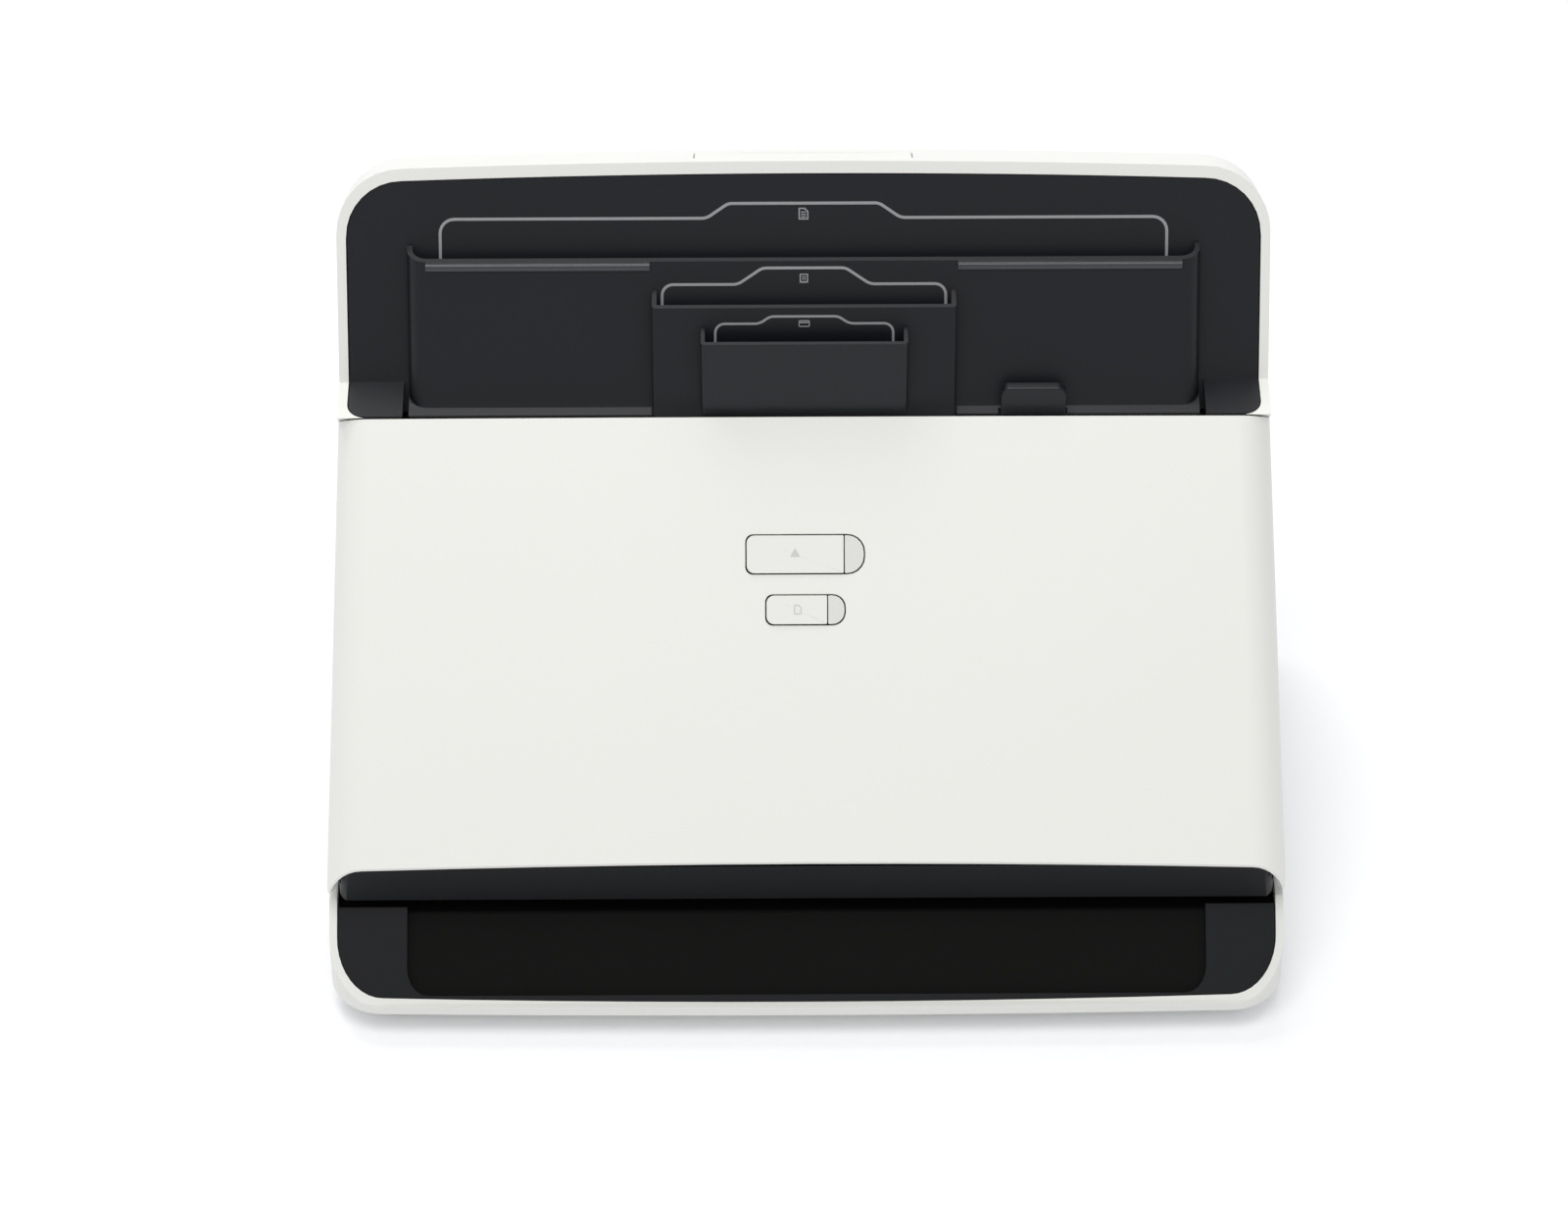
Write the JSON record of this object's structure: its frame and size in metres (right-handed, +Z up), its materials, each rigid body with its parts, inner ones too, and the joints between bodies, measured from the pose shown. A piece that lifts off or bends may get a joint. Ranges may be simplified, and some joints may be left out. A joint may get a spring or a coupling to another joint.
{
  "type": "document scanner",
  "caption": "Desktop sheet-fed document scanner with a hinged sloping front cover, nested paper pockets, two press buttons and a front exit ramp.",
  "frame": {"origin": "centre of the footprint's bounding box, on the surface that the scanner stands on", "axes": "+X to the right seen from the front, +Y to the back, +Z up"},
  "size_m": [0.274, 0.1816, 0.1907],
  "materials": {
    "white_plastic": "moulded, semi-gloss, warm white",
    "black_plastic": "moulded, fine satin texture, bluish black",
    "rubber": "matte",
    "nylon": "natural moulded nylon",
    "glass": "clear",
    "grey_plastic": "satin",
    "circuit_board": "solder mask",
    "plated_steel": "zinc plated"
  },
  "bodies": {
    "chassis": {"base_shell": "white_plastic", "foot_1": "rubber", "foot_2": "rubber", "foot_3": "rubber", "foot_4": "rubber", "base_screw_1": "plated_steel", "base_screw_2": "plated_steel", "base_screw_3": "plated_steel", "base_screw_4": "plated_steel", "front_deck": "black_plastic", "hinge_pin_1": "plated_steel", "hinge_pin_2": "plated_steel", "rear_housing": "white_plastic", "paper_support_liner": "black_plastic", "rear_guide": "black_plastic", "chassis_plate_left": "plated_steel", "chassis_plate_right": "plated_steel", "rear_scan_module": "black_plastic", "rear_scan_glass": "glass", "drive_motor": "plated_steel", "main_board": "circuit_board", "usb_socket": "plated_steel", "power_socket": "black_plastic", "gear_stud_1": "plated_steel", "gear_stud_2": "plated_steel", "latch_stud_1": "plated_steel", "latch_stud_2": "plated_steel", "drive_belt": "rubber"},
    "front_cover": {"front_cover_shell": "white_plastic", "cover_chin": "black_plastic", "cover_frame": "black_plastic", "front_scan_module": "black_plastic", "front_scan_glass": "glass", "separation_shaft": "plated_steel", "button_board": "circuit_board", "indicator_lens_1": "grey_plastic", "indicator_lens_2": "grey_plastic"},
    "latch": {"release_latch": "black_plastic"},
    "scan_key": {"scan_button": "white_plastic"},
    "format_key": {"format_button": "white_plastic"},
    "separation": {"separation_roller": "rubber"},
    "feed_idler_set": {"feed_idlers": "grey_plastic"},
    "exit_idler_set": {"exit_idlers": "grey_plastic"},
    "feed_drive": {"feed_rollers": "rubber", "feed_gear": "nylon", "feed_pulley": "nylon"},
    "exit_drive": {"exit_rollers": "rubber", "exit_pulley": "nylon"},
    "pick_drive": {"pick_shaft": "plated_steel", "pick_roller": "rubber", "pick_gear": "nylon"},
    "pick_idler": {"pick_idler_gear": "nylon"},
    "reduction": {"reduction_gear": "nylon"},
    "motor_rotor": {"motor_pinion": "nylon"},
    "pocket_insert": {"document_pocket": "black_plastic", "receipt_pocket": "black_plastic", "card_pocket": "black_plastic"},
    "extension": {"paper_extension": "white_plastic"}
  },
  "joints": [
    {"name": "cover_hinge", "type": "hinge", "parent": "chassis", "child": "front_cover", "pos_m": [0, -0.06184, 0.035], "axis": [1, 0, 0], "range_deg": [0, 45]},
    {"name": "latch_rock", "type": "hinge", "parent": "front_cover", "child": "latch", "pos_m": [0, 0.02128, 0.12763], "axis": [1, 0, 0], "range_deg": [0, 7], "stiffness_Nm_per_rad": 0.08, "springref_deg": -20.05},
    {"name": "scan_press", "type": "slide", "parent": "front_cover", "child": "scan_key", "axis": [0, 0.6794, -0.7337], "range_m": [0, 0.0008], "stiffness_N_per_m": 500, "springref_m": -0.0006},
    {"name": "format_press", "type": "slide", "parent": "front_cover", "child": "format_key", "axis": [0, 0.6794, -0.7337], "range_m": [0, 0.0008], "stiffness_N_per_m": 500, "springref_m": -0.0006},
    {"name": "separation_spin", "type": "hinge", "parent": "front_cover", "child": "separation", "pos_m": [0, 0.01608, 0.11552], "axis": [1, 0, 0], "continuous": true},
    {"name": "feed_idler_spin", "type": "hinge", "parent": "front_cover", "child": "feed_idler_set", "pos_m": [0, -0.00185, 0.09674], "axis": [1, 0, 0], "continuous": true},
    {"name": "exit_idler_spin", "type": "hinge", "parent": "front_cover", "child": "exit_idler_set", "pos_m": [0, -0.05179, 0.05049], "axis": [1, 0, 0], "continuous": true},
    {"name": "feed_spin", "type": "hinge", "parent": "chassis", "child": "feed_drive", "pos_m": [0, 0.00597, 0.0883], "axis": [1, 0, 0], "continuous": true},
    {"name": "exit_spin", "type": "hinge", "parent": "chassis", "child": "exit_drive", "pos_m": [0, -0.04398, 0.04205], "axis": [1, 0, 0], "continuous": true},
    {"name": "pick_spin", "type": "hinge", "parent": "chassis", "child": "pick_drive", "pos_m": [0, 0.02566, 0.10517], "axis": [1, 0, 0], "continuous": true},
    {"name": "pick_idler_spin", "type": "hinge", "parent": "chassis", "child": "pick_idler", "pos_m": [0, 0.01989, 0.09198], "axis": [1, 0, 0], "continuous": true},
    {"name": "reduction_spin", "type": "hinge", "parent": "chassis", "child": "reduction", "pos_m": [0, 0.00814, 0.07245], "axis": [1, 0, 0], "continuous": true},
    {"name": "motor_spin", "type": "hinge", "parent": "chassis", "child": "motor_rotor", "pos_m": [0, 0.01738, 0.06247], "axis": [1, 0, 0], "continuous": true},
    {"name": "insert_lift", "type": "slide", "parent": "chassis", "child": "pocket_insert", "axis": [0, 0.5, 0.866], "range_m": [0, 0.045]},
    {"name": "extension_pull", "type": "slide", "parent": "chassis", "child": "extension", "axis": [0, 0.5, 0.866], "range_m": [0, 0.04]}
  ],
  "couplings": [
    {"joint": "exit_spin", "follows": "feed_spin", "ratio": 1},
    {"joint": "pick_spin", "follows": "feed_spin", "ratio": 1},
    {"joint": "pick_idler_spin", "follows": "feed_spin", "ratio": -0.8},
    {"joint": "reduction_spin", "follows": "feed_spin", "ratio": -0.66667},
    {"joint": "motor_spin", "follows": "feed_spin", "ratio": 1.6}
  ]
}
